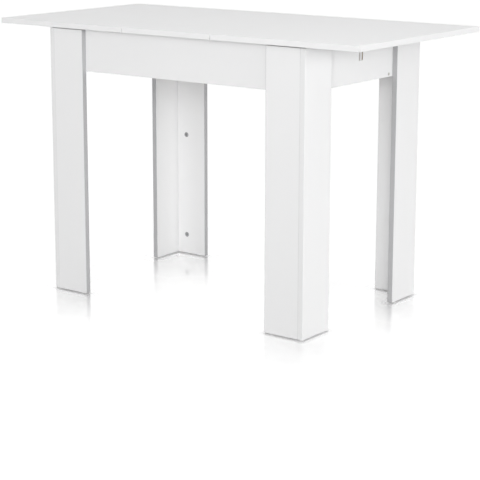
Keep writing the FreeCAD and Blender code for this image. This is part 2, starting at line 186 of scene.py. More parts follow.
class TableStage(bpy.types.PropertyGroup):
    """Floor, lamps and camera."""

    sky_light: FloatProperty(name="Sky", description="Soft light from all round",
                             default=0.333, min=0.0)
    front_light: FloatProperty(name="Front", description="Low soft light from the front",
                               default=1.94, min=0.0)
    side_light: FloatProperty(name="Side", description="Low soft light from the right",
                              default=1.507, min=0.0)
    back_light: FloatProperty(name="Back", description="Soft light from behind, at the left",
                              default=1.62, min=0.0)
    front_panel: FloatProperty(name="Front panel", description="Light panel in front, in watts",
                               default=11.5, min=0.0)
    top_panel: FloatProperty(name="Top panel", description="Light panel over the top, in watts",
                             default=5.13, min=0.0)
    floor_size: length_prop("Floor size", "Half of the floor's side", 40.0)
    floor_bounce: share_prop("Floor bounce", "Light that the floor gives back", 0.62)
    floor_glow: share_prop("Floor glow", "Whiteness that the floor adds to its own", 0.47)
    floor_colour: colour_prop("Floor", "Pale floor", (0.90, 0.90, 0.90))
    floor_gloss: share_prop("Floor gloss", "Reflection at the feet", 0.80)
    floor_roughness: share_prop("Floor roughness", "Roughness of the reflection", 0.05)
    gloss_reach: length_prop("Gloss reach", "How far the reflection reaches from a leg", 0.36)
    dull_reach: length_prop("Dull reach", "Line round a foot without reflection", 8.0 * MM)
    # the next two set a painted contact shade: the floor's glow taken away round each foot
    painted_shade_reach: length_prop("Contact reach", "How far a foot keeps the floor's glow away", 0.02)
    painted_shade_share: share_prop("Contact shade", "Share of the glow that a foot takes away", 0.85)
    card_top: length_prop("Card top", "Height of the cards that only reflections see", 0.35)
    card_fade: length_prop("Card fade", "Height over which a card's foot fades in", 0.06)
    lens: FloatProperty(name="Lens", description="Focal length in millimetres",
                        default=114.98, min=10.0)
    turn: FloatProperty(name="Turn", description="Camera's turn about the upright axis",
                        default=math.radians(37.17), subtype="ANGLE")
    tilt: FloatProperty(name="Tilt", description="Camera's tilt below level",
                        default=math.radians(11.82), subtype="ANGLE")
    place: FloatVectorProperty(name="Place", description="Camera's place", size=3,
                               default=(2.543, -3.391, 1.177), subtype="TRANSLATION")
    shift: FloatVectorProperty(name="Shift", description="Lens shift across and up", size=2,
                               default=(0.03, -0.10))


# ---- shader maths ----
class Wire:
    """Output of a shader node, for use in Python expressions."""

    def __init__(self, shader, socket):
        self.shader = shader
        self.socket = socket

    def maths(self, operation, *values, clamp=False):
        """Math node of the given values, in this value's shader."""
        settings = {"operation": operation, "use_clamp": clamp}
        return self.shader.node("ShaderNodeMath", settings, dict(enumerate(values)))["Value"]

    def __add__(self, other):
        return self.maths("ADD", self, other)

    def __radd__(self, other):
        return self.maths("ADD", other, self)

    def __sub__(self, other):
        return self.maths("SUBTRACT", self, other)

    def __rsub__(self, other):
        return self.maths("SUBTRACT", other, self)

    def __mul__(self, other):
        return self.maths("MULTIPLY", self, other)

    def __rmul__(self, other):
        return self.maths("MULTIPLY", other, self)

    def __truediv__(self, other):
        return self.maths("DIVIDE", self, other)

    def __abs__(self):
        return self.maths("ABSOLUTE", self)

    def above(self, limit):
        """1 where the value is above the limit, else 0."""
        return self.maths("GREATER_THAN", self, limit)

    def below(self, limit):
        """1 where the value is below the limit, else 0."""
        return self.maths("LESS_THAN", self, limit)

    def most(self, other):
        """The larger of two values."""
        return self.maths("MAXIMUM", self, other)

    def least(self, other):
        """The smaller of two values."""
        return self.maths("MINIMUM", self, other)

    def root(self):
        """Square root of the value."""
        return self.maths("SQRT", self)

    def clamped(self):
        """The value kept between 0 and 1."""
        return self.maths("ADD", self, 0.0, clamp=True)


class Shader:
    """Node tree of a material or a world."""

    def __init__(self, owner):
        owner.use_nodes = True
        self.owner = owner
        self.tree = owner.node_tree
        self.tree.nodes.clear()

    def node(self, kind, settings=None, values=None):
        """Makes a node from its settings and its sockets' values, and gives its outputs."""
        made = self.tree.nodes.new(kind)
        for name, value in (settings or {}).items():
            if name == "stops":
                self.set_stops(made.color_ramp, value)
            else:
                setattr(made, name, value)
        for key, value in (values or {}).items():
            if isinstance(value, Wire):
                self.tree.links.new(value.socket, made.inputs[key])
            else:
                made.inputs[key].default_value = value
        found = {}
        for number, socket in enumerate(made.outputs):
            found[number] = Wire(self, socket)
            found.setdefault(socket.name, found[number])
        return found

    @staticmethod
    def set_stops(ramp, stops):
        """Gives a colour ramp its (place, colour) stops."""
        while len(ramp.elements) < len(stops):
            ramp.elements.new(1.0)
        for element, (place, colour) in zip(ramp.elements, stops):
            element.position = place
            element.color = colour

    def mix(self, factor, first, second):
        """Mix of two colours."""
        return self.node("ShaderNodeMix", {"data_type": "RGBA"},
                         {0: factor, 6: rgba(first), 7: rgba(second)})[2]

    def place(self, kind="Object"):
        """Place on the piece: in metres, or for "Generated" as shares of its size."""
        return self.node("ShaderNodeTexCoord")[kind]

    def parts(self, vector):
        """The x, y and z of a vector."""
        found = self.node("ShaderNodeSeparateXYZ", None, {"Vector": vector})
        return found["X"], found["Y"], found["Z"]

    def stretched(self, vector, scale):
        """The vector with each axis scaled."""
        settings = {"operation": "MULTIPLY"}
        return self.node("ShaderNodeVectorMath", settings, {0: vector, 1: scale})["Vector"]

    def noise(self, vector, size, detail=2.0, roughness=0.5, distortion=0.0):
        """Noise from 0 to 1 with spots of the given size."""
        return self.node("ShaderNodeTexNoise", {"noise_dimensions": "3D"},
                         {"Vector": vector, "Scale": 1.0 / size, "Detail": detail,
                          "Roughness": roughness, "Distortion": distortion})["Fac"]

    def bump(self, height, strength, distance):
        """Bumped normal."""
        return self.node("ShaderNodeBump", None, {"Height": height, "Strength": strength,
                                                  "Distance": distance})["Normal"]

    def mix_shaders(self, factor, first, second):
        """Mix of two shaders."""
        return self.node("ShaderNodeMixShader", None, {0: factor, 1: first, 2: second})["Shader"]

    def output(self, surface):
        """Makes a shader the material's surface, and gives the material."""
        self.node("ShaderNodeOutputMaterial", None, {"Surface": surface})
        return self.owner

    def surface(self, values):
        """Principled surface as the material's output."""
        return self.output(self.node("ShaderNodeBsdfPrincipled", None, values)["BSDF"])


def rgba(colour):
    """A colour with full alpha, or a wire as it is."""
    if isinstance(colour, Wire):
        return colour
    return (*colour, 1.0)


def shaded(colour, factor):
    """A colour made darker or lighter."""
    return tuple(min(1.0, part * factor) for part in colour)


def new_shader(name):
    """Shader of a new material."""
    return Shader(bpy.data.materials.new(name))


# ---- finishes ----
def chipboard(looks, shader, vector):
    """Colour of raw chipboard."""
    flake_share, dark, pale = 0.7, 0.72, 1.25
    flakes = shader.node("ShaderNodeTexVoronoi", {"feature": "F1"},
                         {"Vector": vector, "Scale": 1.0 / looks.flake_size})["Color"]
    tone = shader.node("ShaderNodeSeparateColor", None, {"Color": flakes})["Red"]
    speck = shader.noise(vector, looks.flake_size / 3, detail=3.0)
    return shader.mix((tone * flake_share + speck * (1.0 - flake_share)).clamped(),
                      shaded(looks.core_colour, dark), shaded(looks.core_colour, pale))


def melamine(looks, name, skin, lines=None):
    """White melamine board with its bare core in drilled holes and its band joints."""
    sheet_size, dim, pearl_share, uneven = 0.16, 0.988, 0.25, 0.06
    line_dim, core_roughness = 0.55, 0.45
    shader = new_shader(name)
    vector = shader.place()
    pearl = shader.noise(vector, looks.pearl_size, roughness=0.45)
    sheet = shader.noise(vector, sheet_size, detail=3.0)
    white = shader.mix(sheet, shaded(looks.board_colour, dim), looks.board_colour)
    colour = shader.mix(pearl * pearl_share, white, shaded(looks.board_colour, dim))
    roughness = looks.board_roughness + (pearl - 0.5) * uneven + (sheet - 0.5) * uneven
    if lines:
        x, y = shader.parts(vector)[:2]
        colour = shader.mix(lines(x, y), colour, shaded(looks.board_colour, line_dim))
    core = bare_core(shader, skin)
    colour = shader.mix(core, colour, chipboard(looks, shader, vector))
    roughness = (roughness + core * core_roughness).clamped()
    return shader.surface({"Base Color": colour, "Roughness": roughness, "IOR": 1.48,
                           "Normal": shader.bump(pearl, strength=0.06, distance=0.03 * MM)})


def bare_core(shader, skin):
    """Mask of the walls of holes, inside a skin given as shares of the board's three sizes."""
    inside = 1.0
    for part, share in zip(shader.parts(shader.place("Generated")), skin):
        inside = part.above(share) * part.below(1.0 - share) * inside
    return inside


def band_lines(x, y):
    """Thin line where the top's edge band meets its face."""
    looks = bpy.context.scene.table_finishes
    shade = 0.30
    half_x, half_y = CAD_BOX[1].x, CAD_BOX[1].y
    across = abs(abs(y) - (half_y - looks.band_width)).below(looks.joint_width / 2)
    along = abs(abs(x) - (half_x - looks.band_width)).below(looks.joint_width / 2)
    return across.most(along) * shade


def leg_joint(x, _):
    """Line on a leg's face board where it meets the side board."""
    width, shade = 0.5 * MM, 0.45
    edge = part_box("leg_front_right_face")[1].x
    return abs(x).above(edge - width) * shade


def leg_strip(_, y):
    """Slightly greyer band on the edge of a side board that shows in a leg's face."""
    width, shade = 0.6 * MM, 0.09
    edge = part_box("leg_back_right_side")[1].y
    return abs(y).above(edge - width) * shade


def edge_band(looks, name):
    """Grey plastic edge band, faintly streaked along its length."""
    streak_size, streak_stretch, spot_size = 1.2 * MM, 0.04, 0.05
    dark, pale, smooth, uneven = 0.94, 1.05, 0.36, 0.12
    shader = new_shader(name)
    vector = shader.place()
    streaks = shader.noise(shader.stretched(vector, (1.0, 1.0, streak_stretch)), streak_size)
    spots = shader.noise(vector, spot_size)
    colour = shader.mix(streaks * 0.5 + spots * 0.5, shaded(looks.band_colour, dark),
                        shaded(looks.band_colour, pale))
    roughness = (smooth + streaks * uneven).clamped()
    return shader.surface({"Base Color": colour, "Roughness": roughness, "IOR": 1.5,
                           "Normal": shader.bump(streaks, strength=0.08, distance=0.04 * MM)})


def beech(looks, name, along):
    """Planed beech with its grain along an axis."""
    grain_stretch, ray_width, ray_share, ring_share = 0.045, 0.16, 0.35, 0.6
    dark, pale, smooth, uneven = 0.9, 1.12, 0.52, 0.18
    shader = new_shader(name)
    scale = [1.0, 1.0, 1.0]
    scale[along] = grain_stretch
    drawn = shader.stretched(shader.place(), scale)
    rings = shader.noise(drawn, looks.grain_size, detail=4.0, roughness=0.55, distortion=0.6)
    pores = shader.noise(drawn, looks.grain_size / 9)
    rays = shader.node("ShaderNodeTexVoronoi", {"feature": "F1"},
                       {"Vector": drawn, "Scale": 1.0 / (looks.grain_size / 3)})["Distance"]
    stops = ((0.30, rgba(looks.beech_dark)), (0.52, rgba(looks.beech_colour)),
             (0.85, rgba(shaded(looks.beech_colour, pale))))
    tone = shader.node("ShaderNodeValToRGB", {"stops": stops}, {"Fac": rings})["Color"]
    fleck = rays.below(ray_width) * ray_share
    colour = shader.mix(fleck, tone, shaded(looks.beech_dark, dark))
    height = rings * ring_share + pores * (1.0 - ring_share)
    roughness = (smooth + pores * uneven).clamped()
    return shader.surface({"Base Color": colour, "Roughness": roughness, "IOR": 1.5,
                           "Normal": shader.bump(height, strength=0.25, distance=0.10 * MM)})


def metal(name, colour, roughness, spot, mottle, bump):
    """Bare metal with mottled tone."""
    uneven = 0.2
    shader = new_shader(name)
    vector = shader.place()
    cloud = shader.noise(vector, spot, detail=4.0, roughness=0.6)
    fine = shader.noise(vector, spot / 6)
    tone = shader.mix(cloud, shaded(colour, 1.0 - mottle), shaded(colour, 1.0 + mottle))
    return shader.surface({"Base Color": tone, "Metallic": 1.0,
                           "Roughness": (roughness + (cloud - 0.5) * uneven).clamped(),
                           "Normal": shader.bump(fine, strength=bump, distance=0.04 * MM)})


def plastic(name, colour, roughness, pit):
    """Moulded plastic with a fine eroded texture."""
    dark, pale, uneven = 0.95, 1.03, 0.15
    shader = new_shader(name)
    vector = shader.place()
    pits = shader.noise(vector, pit, detail=3.0)
    cloud = shader.noise(vector, pit * 12)
    tone = shader.mix(cloud, shaded(colour, dark), shaded(colour, pale))
    return shader.surface({"Base Color": tone, "IOR": 1.49,
                           "Roughness": (roughness + pits * uneven).clamped(),
                           "Normal": shader.bump(pits, strength=0.15, distance=0.05 * MM)})


FINISHES = {
    "top": lambda looks: melamine(looks, "top_melamine", (SEAM_SKIN, EDGE_SKIN, FACE_SKIN),
                                  band_lines),
    "thin_x": lambda looks: melamine(looks, "end_melamine", (FACE_SKIN, EDGE_SKIN, EDGE_SKIN),
                                     leg_strip),
    "thin_y": lambda looks: melamine(looks, "face_melamine", (EDGE_SKIN, FACE_SKIN, EDGE_SKIN),
                                     leg_joint),
    "thin_z": lambda looks: melamine(looks, "batten_melamine", (EDGE_SKIN, EDGE_SKIN, FACE_SKIN)),
    "band": lambda looks: edge_band(looks, "leg_edge_plastic"),
    "beech_x": lambda looks: beech(looks, "beech_along", 0),
    "beech_y": lambda looks: beech(looks, "beech_across", 1),
    "beech_z": lambda looks: beech(looks, "beech_upright", 2),
    "zinc": lambda looks: metal("cast_zinc", looks.zinc_colour, roughness=0.46,
                                spot=2.5 * MM, mottle=0.12, bump=0.35),
    "steel": lambda looks: metal("plated_steel", looks.steel_colour, roughness=0.30,
                                 spot=4.0 * MM, mottle=0.08, bump=0.12),
    "glide": lambda looks: plastic("glide_plastic", looks.glide_colour, roughness=0.45,
                                   pit=0.5 * MM),
    "pad": lambda looks: plastic("pad_plastic", looks.pad_colour, roughness=0.30,
                                 pit=0.4 * MM),
}
made_finishes = {}


def finish(name):
    """Material of that name, made once."""
    if name not in made_finishes:
        made_finishes[name] = FINISHES[name](bpy.context.scene.table_finishes)
    return made_finishes[name]


def dress(names, material):
    """Gives CAD nodes a material."""
    for name in names:
        node = frame["nodes"][name]
        if not node.material_slots:
            node.data.materials.append(material)
        for slot in node.material_slots:
            slot.material = material


# ---- mesh work ----
def solids(node):
    """Lowest corner, highest corner and points of each separate solid of a CAD node."""
    weld, digits = 1e-6, 5
    work = bmesh.new()
    work.from_mesh(frame["nodes"][node].data)
    bmesh.ops.remove_doubles(work, verts=work.verts, dist=weld)
    waiting = set(work.verts)
    found = []
    while waiting:
        group = {waiting.pop()}
        front = list(group)
        while front:
            near = {e.other_vert(v) for v in front for e in v.link_edges} & waiting
            waiting -= near
            group |= near
            front = list(near)
        points = [v.co.copy() for v in group]
        low = Vector(tuple(min(p[i] for p in points) for i in range(3)))
        high = Vector(tuple(max(p[i] for p in points) for i in range(3)))
        found.append((low, high, points))
    work.free()
    return sorted(found, key=lambda solid: [round(c, digits) for c in solid[0] + solid[1]])


def axis_of(solid, longest=True):
    """Number of the solid's longest or shortest axis."""
    size = solid[1] - solid[0]
    return sorted(range(3), key=lambda i: size[i])[-1 if longest else 0]


def length_of(solid, axis):
    """Length of the solid along an axis."""
    return solid[1][axis] - solid[0][axis]


def radius_of(solid, axis):
    """Round radius inside the solid's flats, across the axis."""
    return min(length_of(solid, i) for i in range(3) if i != axis) / 2


def middle_of(solid):
    """Middle of the solid's box."""
    return (solid[0] + solid[1]) / 2


def end_of(solid, axis, high_end):
    """Middle of the solid's end on an axis, and the direction that points out of it."""
    origin = middle_of(solid)
    origin[axis] = solid[1 if high_end else 0][axis]
    out = Vector((0, 0, 0))
    out[axis] = 1 if high_end else -1
    return origin, out


def breadth_at(solid, axis, height):
    """How far the solid reaches out from its axis at the end of that height."""
    slack = 0.5 * MM
    reach = 0.0
    for point in solid[2]:
        if abs(point[axis] - height) < slack:
            away = point - middle_of(solid)
            away[axis] = 0
            reach = max(reach, away.length)
    return reach


def square_to(axis):
    """A direction at right angles to an axis."""
    return (1, 0, 0) if axis == 2 else (0, 0, 1)


def facing(origin, out, along):
    """Matrix that takes +Z to out and +X to along, at the origin."""
    z = Vector(out).normalized()
    x = Vector(along) - z * Vector(along).dot(z)
    x.normalize()
    y = z.cross(x)
    turned = Matrix((x, y, z)).transposed().to_4x4()
    return Matrix.Translation(origin) @ turned


def linked(name, data):
    """New object in the scene."""
    made = bpy.data.objects.new(name, data)
    bpy.context.scene.collection.objects.link(made)
    return made


def meshed(name, work):
    """Mesh from finished mesh work, with its faces turned outwards."""
    bmesh.ops.recalc_face_normals(work, faces=work.faces)
    mesh = bpy.data.meshes.new(name)
    work.to_mesh(mesh)
    work.free()
    return mesh


def spindle(rows, facets, shape=None):
    """Mesh turned about Z from (radius, z) rows that start and end on the axis."""
    work = bmesh.new()
    rings = []
    for radius, z in rows:
        if radius == 0:
            rings.append([work.verts.new((0, 0, z))])
            continue
        ring = []
        for i in range(facets):
            angle = math.tau * i / facets
            reach = shape(radius, angle, z) if shape else radius
            ring.append(work.verts.new((reach * math.cos(angle), reach * math.sin(angle), z)))
        rings.append(ring)
    for lower, upper in zip(rings, rings[1:]):
        for i in range(facets):
            j = (i + 1) % facets
            if len(lower) == 1:
                work.faces.new((lower[0], upper[j], upper[i]))
            elif len(upper) == 1:
                work.faces.new((lower[i], lower[j], upper[0]))
            else:
                work.faces.new((lower[i], lower[j], upper[j], upper[i]))
    return meshed("spindle", work)


def prism(corners, low_z, high_z, low_scale=1.0):
    """Closed mesh with an (x, y) outline, its lower end scaled."""
    work = bmesh.new()
    low = [work.verts.new((x * low_scale, y * low_scale, low_z)) for x, y in corners]
    high = [work.verts.new((x, y, high_z)) for x, y in corners]
    work.faces.new(low[::-1])
    work.faces.new(high)
    for i in range(len(corners)):
        j = (i + 1) % len(corners)
        work.faces.new((low[i], low[j], high[j], high[i]))
    return meshed("prism", work)


def cross_outline(span, width):
    """Corners of a cross with four equal arms."""
    s, w = span / 2, width / 2
    quarter = [(s, -w), (s, w), (w, w)]
    corners = []
    for turn in range(4):
        for x, y in quarter:
            for _ in range(turn):
                x, y = -y, x
            corners.append((x, y))
    return corners


def carved(mesh, cutters):
    """The mesh with the cutters taken out of it."""
    body = linked("carved", mesh)
    tools = [linked("cutter", cutter) for cutter in cutters]
    for tool in tools:
        step = body.modifiers.new("cut", "BOOLEAN")
        step.operation = "DIFFERENCE"
        step.solver = "EXACT"
        step.object = tool
    bpy.context.view_layer.update()
    seen = body.evaluated_get(bpy.context.evaluated_depsgraph_get())
    result = bpy.data.meshes.new_from_object(seen)
    for thing in (body, *tools):
        bpy.data.objects.remove(thing)
    if not result.polygons:
        raise RuntimeError("a cutter left nothing of the mesh")
    return result


def gathered(name, copies, materials, crease=35.0):
    """One object from (mesh, matrix, material number) copies."""
    work = bmesh.new()
    for mesh, matrix, number in copies:
        first_vert, first_face = len(work.verts), len(work.faces)
        work.from_mesh(mesh)
        work.verts.ensure_lookup_table()
        work.faces.ensure_lookup_table()
        bmesh.ops.transform(work, matrix=matrix, verts=work.verts[first_vert:])
        for face in work.faces[first_face:]:
            face.material_index = number
            face.smooth = True
    mesh = bpy.data.meshes.new(name)
    work.to_mesh(mesh)
    work.free()
    for material in materials:
        mesh.materials.append(material)
    mesh.set_sharp_from_angle(angle=math.radians(crease))
    return linked(name, mesh)


def stands_for(made, node):
    """Puts a made piece in the place of a CAD node."""
    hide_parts(node)
    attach(made, frame["nodes"][node]["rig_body"])


def threaded(pitch, depth, low, high):
    """Shape function: a thread between two heights."""
    def shape(radius, angle, z):
        if not low <= z <= high:
            return radius
        wave = abs(2 * ((z / pitch - angle / math.tau) % 1.0) - 1)
        return radius - depth * (1 - wave)
    return shape


def thread_rows(radius, low, high, pitch):
    """Rows of a threaded length."""
    rows_to_a_turn = 6
    count = max(2, round((high - low) / pitch * rows_to_a_turn))
    return [(radius, low + (high - low) * i / count) for i in range(count + 1)]


# ---- fittings ----
def screw_mesh(length, head):
    """Countersunk cross-recess screw, with a thin rim that covers its six-sided hole."""
    sizes = bpy.context.scene.table_fittings
    shank, proud, neck = sizes.screw_shank, sizes.rim_height, -sizes.head_height
    point, taper, step, edge = 1.2 * MM, 3.0 * MM, 0.6 * MM, 0.25 * MM
    bevel, ease, waist, waist_share = 0.45 * MM, 0.15 * MM, shank * 0.80, 0.22
    tip, thread_top = taper - length, neck - waist_share * length
    rim = head / math.cos(math.pi / HOLE_SIDES)
    rows = [(0, -length), (shank * 0.45, -length + point)]
    rows += thread_rows(shank, tip, thread_top, sizes.thread_pitch)
    rows += [(waist, thread_top + step), (waist, neck - step), (shank * 0.95, neck),
             (head - edge, -bevel), (head, -edge), (rim, -SEAT),
             (rim - ease, proud), (head * 0.4, proud), (0, proud)]
    thread = threaded(sizes.thread_pitch, sizes.thread_depth, tip, thread_top)
    turned = spindle(rows, sizes.facets // 2, thread)
    cross = prism(cross_outline(sizes.recess_span, sizes.recess_width),
                  -sizes.recess_depth, 0.2 * MM, low_scale=0.35)
    return carved(turned, [cross])


def make_screws(node):
    """Round screws in the places of a CAD node's screws, each turned by chance."""
    chance = random.Random(node)
    found = solids(node)
    axis = axis_of(found[0])
    template = screw_mesh(length_of(found[0], axis), radius_of(found[0], axis))
    copies = []
    for solid in found:
        axis = axis_of(solid)
        low, high = (breadth_at(solid, axis, corner[axis]) for corner in solid[:2])
        origin, out = end_of(solid, axis, high > low)
        turn = Matrix.Rotation(chance.uniform(0, math.tau), 4, "Z")
        copies.append((template, facing(origin, out, square_to(axis)) @ turn, 0))
    made = gathered(node + "_turned", copies, [finish("steel")])
    stands_for(made, node)


def cam_mesh(radius, depth):
    """Cam with a rim over its twelve-sided pocket, a cross recess and a way in along +X."""
    sizes = bpy.context.scene.table_fittings
    proud, lip, sunk, over = sizes.rim_height, 0.35 * MM, 0.25 * MM, 0.5 * MM
    foot_in, foot_up, wall_top = 1.0 * MM, 0.8 * MM, 0.4 * MM
    rim = radius / math.cos(math.pi / POCKET_SIDES)
    rows = [(0, -depth), (radius - foot_in, -depth), (radius, -depth + foot_up),
            (radius, -wall_top), (rim, -SEAT), (rim - lip / 2, proud),
            (radius - 3 * lip, proud), (radius - 3.6 * lip, -sunk), (0, -sunk)]
    turned = spindle(rows, sizes.facets)
    cross = prism(cross_outline(sizes.cam_span, sizes.cam_width), -sizes.cam_depth,
                  over, low_scale=0.8)
    arrow_tip, arrow_back, arrow_half = radius - 0.6 * MM, radius - 1.9 * MM, 1.0 * MM
    arrow = prism([(arrow_tip, 0), (arrow_back, arrow_half), (arrow_back, -arrow_half)],
                  -0.8 * MM, over)
    bore, start, rise = 2.9 * MM, -3 * MM, 5.0 * MM
    length = radius + 1 * MM - start
    way_in = spindle([(0, 0), (bore, 0), (bore, length), (0, length)], sizes.facets // 2)
    way_in.transform(facing((start, 0, rise - depth), (1, 0, 0), (0, 0, 1)))
    return carved(turned, [cross, arrow, way_in])


def make_cams(node, bolts):
    """Round cams in the places of a CAD node's cams, turned to their bolts."""
    places = [middle_of(bolt) for bolt in solids(bolts)]
    found = solids(node)
    axis = axis_of(found[0], longest=False)
    template = cam_mesh(radius_of(found[0], axis), length_of(found[0], axis))
    copies = []
    for solid in found:
        axis = axis_of(solid, longest=False)
        middle = middle_of(solid)
        origin, out = end_of(solid, axis, middle[axis] <= 0)
        bolt = min(places, key=lambda place: (place - middle).length)
        copies.append((template, facing(origin, out, bolt - middle), 0))
    made = gathered(node + "_cast", copies, [finish("zinc")], crease=28.0)
    stands_for(made, node)


def bolt_mesh(length):
    """Cam bolt with its head's tip at z = 0 and its thread below."""
    sizes = bpy.context.scene.table_fittings
    head, neck = sizes.bolt_head, sizes.bolt_neck
    shank, thread = sizes.bolt_shank, sizes.bolt_thread
    joint, edge = -sizes.bolt_reach, 0.5 * MM
    pitch, depth = sizes.thread_pitch * 1.2, sizes.thread_depth * 1.3
    dome, head_low, neck_top, neck_low = 0.7 * MM, 2.2 * MM, 3.0 * MM, 9.6 * MM
    shoulder, shank_top, gap = 10.0 * MM, 10.6 * MM, 0.4 * MM
    taper, point = 1.2 * MM, 0.3 * MM
    rows = [(0, 0), (head * 0.7, 0), (head, -dome), (head, -head_low), (neck, -neck_top),
            (neck, -neck_low), (shank - edge, -shoulder), (shank, -shank_top),
            (shank, joint + edge), (shank - edge, joint)]
    rows += thread_rows(thread, joint - gap, taper - length, pitch)
    rows += [(thread * 0.5, point - length), (0, -length)]
    shape = threaded(pitch, depth, 1.0 * MM - length, joint - edge)
    return spindle(rows, sizes.facets // 2, shape)


def make_cam_bolts(node, cams):
    """Turned bolts in the places of a CAD node's bolts, with their heads in the cams."""
    places = [middle_of(cam) for cam in solids(cams)]
    found = solids(node)
    template = bolt_mesh(length_of(found[0], axis_of(found[0])))
    copies = []
    for solid in found:
        axis = axis_of(solid)
        middle = middle_of(solid)
        cam = min(places, key=lambda place: (place - middle).length)
        origin, out = end_of(solid, axis, cam[axis] > middle[axis])
        copies.append((template, facing(origin, out, (0, 0, 1)), 0))
    made = gathered(node + "_turned", copies, [finish("steel")])
    stands_for(made, node)


def dowel_mesh(length, radius):
    """Dowel up from z = 0, with glue grooves and chamfered ends."""
    sizes = bpy.context.scene.table_fittings
    cut, sharpness, facets_to_a_flute = sizes.chamfer, 3, 6
    end = radius - cut * 0.6

    def flute(reach, angle, _):
        wave = 0.5 - 0.5 * math.cos(angle * sizes.flutes)
        return reach - sizes.flute_depth * wave ** sharpness

    rows = [(0, 0), (end, 0), (radius, cut), (radius, length - cut), (end, length), (0, length)]
    return spindle(rows, sizes.flutes * facets_to_a_flute, flute)


def make_dowels(node):
    """Fluted dowels in the places of a CAD node's dowels."""
    found = solids(node)
    copies = []
    for solid in found:
        axis = axis_of(solid)
        origin, out = end_of(solid, axis, False)
        template = dowel_mesh(length_of(solid, axis), radius_of(solid, axis))
        copies.append((template, facing(origin, -out, square_to(axis)), 0))
    beech_along = "beech_" + "xyz"[axis_of(found[0])]
    made = gathered(node + "_fluted", copies, [finish(beech_along)], crease=50.0)
    stands_for(made, node)


def glide_meshes(length, radius):
    """Plastic foot of a glide and its nail, up from z = 0."""
    sizes = bpy.context.scene.table_fittings
    foot, nail = sizes.glide_foot, sizes.nail_radius
    dome, wall, edge, bury, point = 0.35 * MM, 1.1 * MM, 0.25 * MM, 0.5 * MM, 2.5 * MM
    pad = spindle([(0, 0), (radius * 0.45, 0), (radius * 0.80, dome * 0.5),
                   (radius - dome, dome * 1.6), (radius, wall), (radius, foot - edge),
                   (radius - edge, foot), (0, foot)], sizes.facets)
    pin = spindle([(0, foot - bury), (nail, foot - bury), (nail, length - point),
                   (0, length)], sizes.facets // 3)
    return pad, pin


def make_glides(node):
    """Plastic glides with steel nails in the places of a CAD node's glides."""
    copies = []
    for solid in solids(node):
        radius = length_of(solid, 0) / 2 * math.cos(math.pi / POCKET_SIDES)
        origin, out = end_of(solid, 2, False)
        matrix = facing(origin, -out, (1, 0, 0))
        for number, mesh in enumerate(glide_meshes(length_of(solid, 2), radius)):
            copies.append((mesh, matrix, number))
    made = gathered(node + "_moulded", copies, [finish("glide"), finish("steel")])
    stands_for(made, node)


# ---- stage ----
def seen_by_eye(shader):
    """1 for rays that see the background, straight or in a gloss."""
    path = shader.node("ShaderNodeLightPath")
    return (path["Is Camera Ray"] + path["Is Glossy Ray"]
            + path["Is Transmission Ray"]).clamped()


def feet_gap(shader):
    """Distance on the floor from the nearest leg's boards. The four legs mirror one another."""
    across, along = (abs(part) for part in shader.parts(shader.place())[:2])
    gaps = []
    for board in ("leg_back_right_face", "leg_back_right_side"):
        low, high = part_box(board)
        square = 0.0
        for part, least, most in ((across, low.x, high.x), (along, low.y, high.y)):
            beyond = (abs(part - (least + most) / 2) - (most - least) / 2).most(0.0)
            square = beyond * beyond + square
        gaps.append(square.root())
    return gaps[0].least(gaps[1])


def flat_piece(name, corners, material):
    """One flat face with a material."""
    mesh = bpy.data.meshes.new(name)
    mesh.from_pydata(corners, [], [(0, 1, 2, 3)])
    mesh.materials.append(material)
    return linked(name, mesh)


def set_floor():
    """Wide pale floor that keeps the table's shadow, with a painted contact shade and a
    reflection at the feet.
    """
    stage = bpy.context.scene.table_stage
    grazing_gain = 2.5
    shader = new_shader("floor_white")
    gap = feet_gap(shader)
    near = (1.0 - gap / stage.gloss_reach).clamped()
    touch = (1.0 - gap / stage.dull_reach).clamped()
    # Painted contact shade: round each foot the floor's glow is taken away, so the floor there is
    # darker than its lit level, on top of the real shadow in the glides' gap.
    under = (1.0 - gap / stage.painted_shade_reach).clamped() * stage.painted_shade_share
    glow = shader.mix(under, (stage.floor_glow,) * 3, (0.0,) * 3)
    pale = shader.node("ShaderNodeBsdfPrincipled", None,
                       {"Base Color": rgba(stage.floor_colour), "Roughness": 1.0,
                        "Specular IOR Level": 0.0, "Emission Color": glow,
                        "Emission Strength": 1.0})["BSDF"]
    gloss = shader.node("ShaderNodeBsdfGlossy", None,
                        {"Color": WHITE, "Roughness": stage.floor_roughness})["BSDF"]
    slant = shader.node("ShaderNodeLayerWeight", None, {"Blend": 0.5})["Facing"]
    grazing = (slant * slant * slant * grazing_gain).clamped()
    mirrored = near * grazing * (1.0 - touch) * stage.floor_gloss
    shown = shader.mix_shaders(mirrored, pale, gloss)
    bounce = shader.node("ShaderNodeBsdfDiffuse", None,
                         {"Color": rgba((stage.floor_bounce,) * 3)})["BSDF"]
    material = shader.output(shader.mix_shaders(seen_by_eye(shader), bounce, shown))
    half = stage.floor_size
    corners = [(-half, -half, 0), (half, -half, 0), (half, half, 0), (-half, half, 0)]
    floor = flat_piece("floor", corners, material)


def set_cards():
    """White cards between the legs, which only reflections see: no foot mirrors a far leg."""
    stage = bpy.context.scene.table_stage
    shader = new_shader("card_white")
    height = shader.parts(shader.place())[2]
    clear = shader.node("ShaderNodeBsdfTransparent")["BSDF"]
    white = shader.node("ShaderNodeEmission", None, {"Color": WHITE, "Strength": 1.0})["Emission"]
    fade = (height / stage.card_fade).clamped()
    material = shader.output(shader.mix_shaders(fade, clear, white))
    over_floor, high, reach = 1 * MM, stage.card_top, CAD_BOX[1].x
    for name, x, y in (("card_across", reach, 0.0), ("card_along", 0.0, reach)):
        corners = [(-x, -y, over_floor), (x, y, over_floor), (x, y, high), (-x, -y, high)]
        card = flat_piece(name, corners, material)
        card.visible_camera = False
        card.visible_diffuse = False
        card.visible_transmission = False
        card.visible_shadow = False


